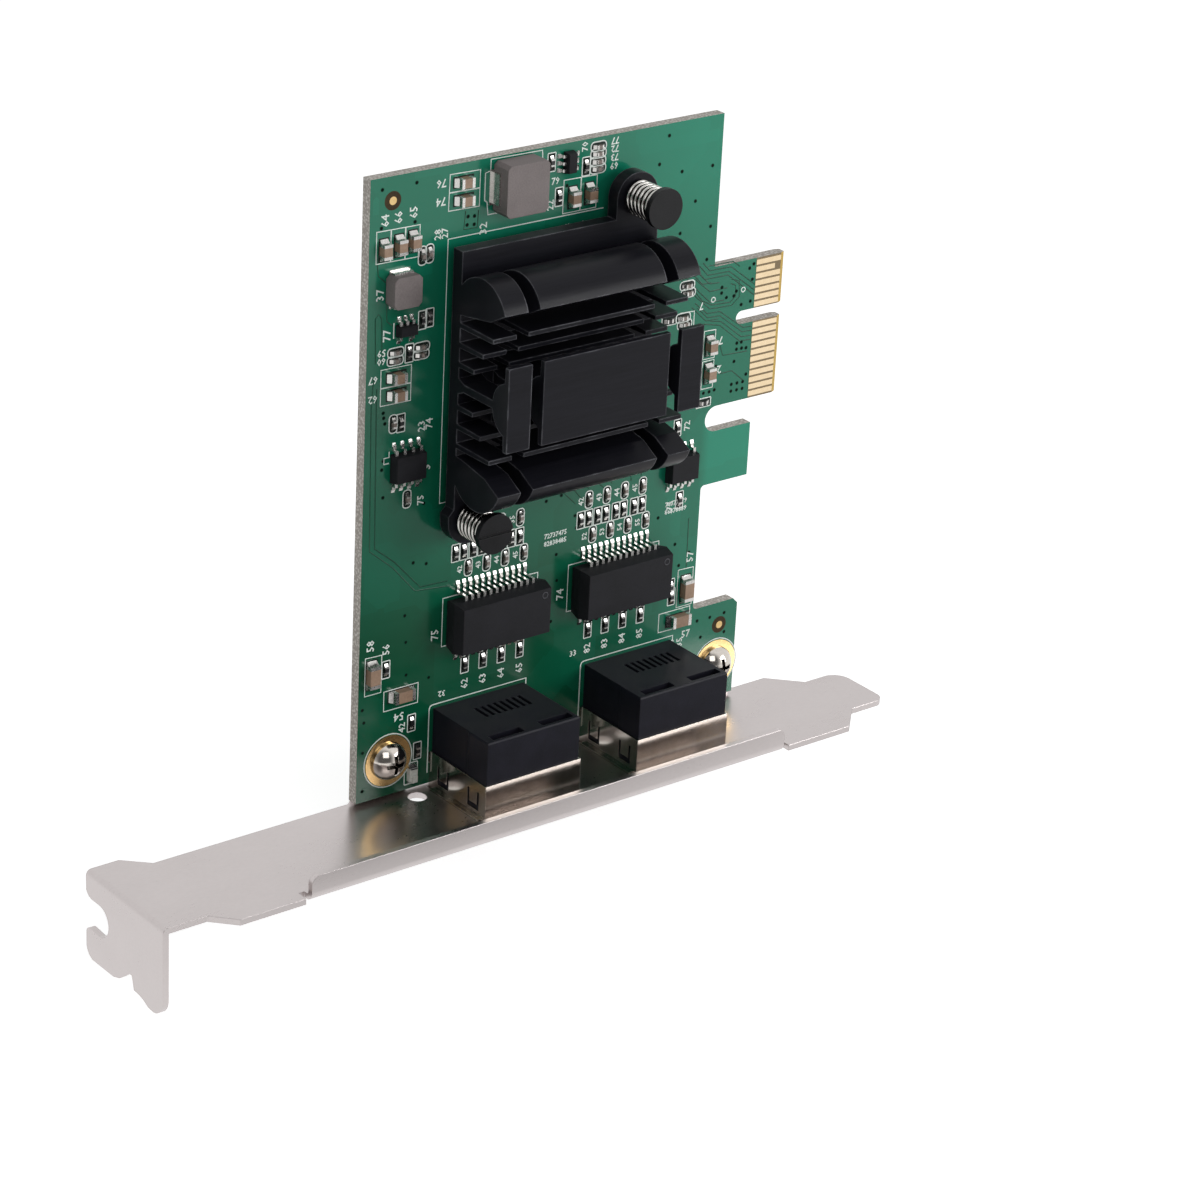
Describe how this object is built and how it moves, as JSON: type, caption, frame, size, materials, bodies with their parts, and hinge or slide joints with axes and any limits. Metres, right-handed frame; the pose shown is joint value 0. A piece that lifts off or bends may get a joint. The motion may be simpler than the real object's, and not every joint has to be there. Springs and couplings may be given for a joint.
{
  "type": "network interface card",
  "caption": "Green plug-in circuit board with a finned heat sink, modular network sockets and a folded steel fixing bracket.",
  "frame": {"origin": "middle of the bracket's length, on the outer face of its plate, in the plane of the board's component face", "axes": "+X along the bracket towards the edge contacts, -Y out of the component face, +Z from the bracket up the board"},
  "size_m": [0.1209, 0.0216, 0.0999],
  "materials": {
    "solder_mask": "satin green solder mask over glass laminate",
    "gold_plating": "bright gold plate",
    "bracket_steel": "bright nickel-plated sheet steel",
    "screw_steel": "bright plated",
    "black_anodised": "satin black anodised",
    "black_mould": "matte moulding compound",
    "soft_pad": "matte",
    "pin_plastic": "satin nylon",
    "spring_steel": "bright",
    "jack_plastic": "satin moulded plastic",
    "shield_metal": "bright nickel",
    "light_body": "clear milky plastic",
    "tin_plating": "bright tin",
    "iron_powder": "satin grey moulded iron powder",
    "tan_ceramic": "satin ceramic",
    "black_glaze": "glossy glaze"
  },
  "bodies": {
    "root": {"circuit_board": "solder_mask", "edge_contacts_front": "gold_plating", "edge_contacts_back": "gold_plating", "screw_pads": "gold_plating", "sighting_dots": "gold_plating", "bracket": "bracket_steel", "bracket_screws": "screw_steel", "heat_sink": "black_anodised", "controller_chip": "black_mould", "thermal_pad": "soft_pad", "push_pins": "pin_plastic", "pin_springs": "spring_steel", "jack_housings": "jack_plastic", "jack_shields": "shield_metal", "jack_contacts": "gold_plating", "port_lights": "light_body", "isolation_modules": "black_mould", "isolation_module_leads": "tin_plating", "memory_chips": "black_mould", "memory_chip_leads": "tin_plating", "power_chips": "black_mould", "power_chip_leads": "tin_plating", "large_inductor": "iron_powder", "large_inductor_terminals": "tin_plating", "small_inductor": "iron_powder", "small_inductor_terminals": "tin_plating", "filter_capacitor_bodies": "tan_ceramic", "filter_capacitor_ends": "tin_plating", "bulk_capacitor_bodies": "tan_ceramic", "bulk_capacitor_ends": "tin_plating", "bypass_capacitor_bodies": "tan_ceramic", "bypass_capacitor_ends": "tin_plating", "resistor_bodies": "black_glaze", "resistor_ends": "tin_plating"}
  },
  "joints": []
}
